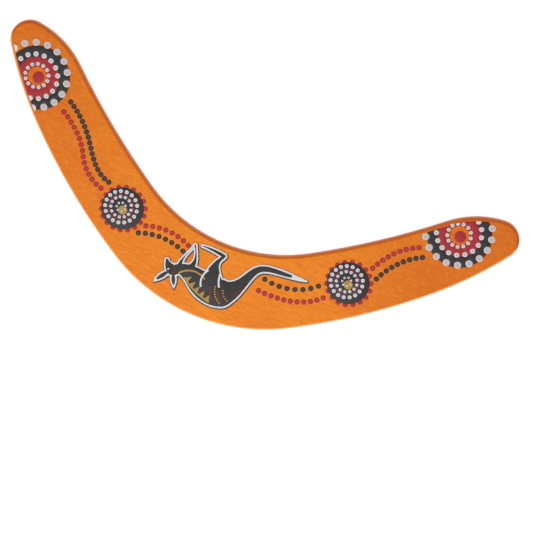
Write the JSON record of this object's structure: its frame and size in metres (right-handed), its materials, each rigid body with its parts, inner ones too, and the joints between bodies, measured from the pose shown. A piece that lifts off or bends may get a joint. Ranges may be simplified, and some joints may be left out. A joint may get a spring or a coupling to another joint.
{
  "type": "boomerang",
  "caption": "V-shaped returning boomerang of orange-painted plywood with a curved elbow, rounded tips and raised dot-paint targets, rosettes, trails and a plain kangaroo.",
  "frame": {"origin": "centre of the outline's box, on the flat underside", "axes": "+X from the left tip to the right tip, +Y from the elbow towards the open side of the V, +Z out of the painted top"},
  "size_m": [0.399, 0.1574, 0.0071],
  "materials": {
    "face_veneer": "raw sanded veneer, grain from tip to tip",
    "cross_veneer": "raw veneer, grain from front to back",
    "orange_paint": "satin orange paint on wood, grain showing through",
    "black_paint": "thick charcoal acrylic, satin",
    "red_paint": "thick crimson acrylic, satin",
    "white_paint": "thick off-white acrylic, satin",
    "ochre_paint": "ochre acrylic, satin",
    "maroon_paint": "maroon acrylic, satin"
  },
  "bodies": {
    "root": {"bottom_face_ply": "face_veneer", "core_ply": "face_veneer", "kangaroo_body": "black_paint", "kangaroo_eye": "white_paint", "kangaroo_maroon_marks": "maroon_paint", "kangaroo_ochre_dots": "ochre_paint", "kangaroo_ochre_marks": "ochre_paint", "kangaroo_outline": "white_paint", "left_arm_black_dots": "black_paint", "left_arm_red_dots": "red_paint", "left_elbow_black_dots": "black_paint", "left_elbow_red_dots": "red_paint", "left_rosette_black_disc": "black_paint", "left_rosette_inner_dots": "white_paint", "left_rosette_maroon_ring": "maroon_paint", "left_rosette_ochre_centre": "ochre_paint", "left_rosette_outer_dots": "white_paint", "left_rosette_red_dots": "red_paint", "left_rosette_tiny_dots": "white_paint", "left_target_black_band": "black_paint", "left_target_large_dots": "white_paint", "left_target_medium_dots": "white_paint", "left_target_red_band": "red_paint", "left_target_red_eye": "red_paint", "left_target_small_dots": "white_paint", "lower_cross_ply": "cross_veneer", "right_arm_black_dots": "black_paint", "right_arm_red_dots": "red_paint", "right_elbow_black_dots": "black_paint", "right_elbow_red_dots": "red_paint", "right_rosette_black_disc": "black_paint", "right_rosette_inner_dots": "white_paint", "right_rosette_maroon_ring": "maroon_paint", "right_rosette_ochre_centre": "ochre_paint", "right_rosette_outer_dots": "white_paint", "right_rosette_red_dots": "red_paint", "right_rosette_tiny_dots": "white_paint", "right_target_black_band": "black_paint", "right_target_large_dots": "white_paint", "right_target_medium_dots": "white_paint", "right_target_red_band": "red_paint", "right_target_red_eye": "red_paint", "right_target_small_dots": "white_paint", "top_coat": "orange_paint", "top_face_ply": "face_veneer", "underside_coat": "orange_paint", "upper_cross_ply": "cross_veneer"}
  },
  "joints": []
}
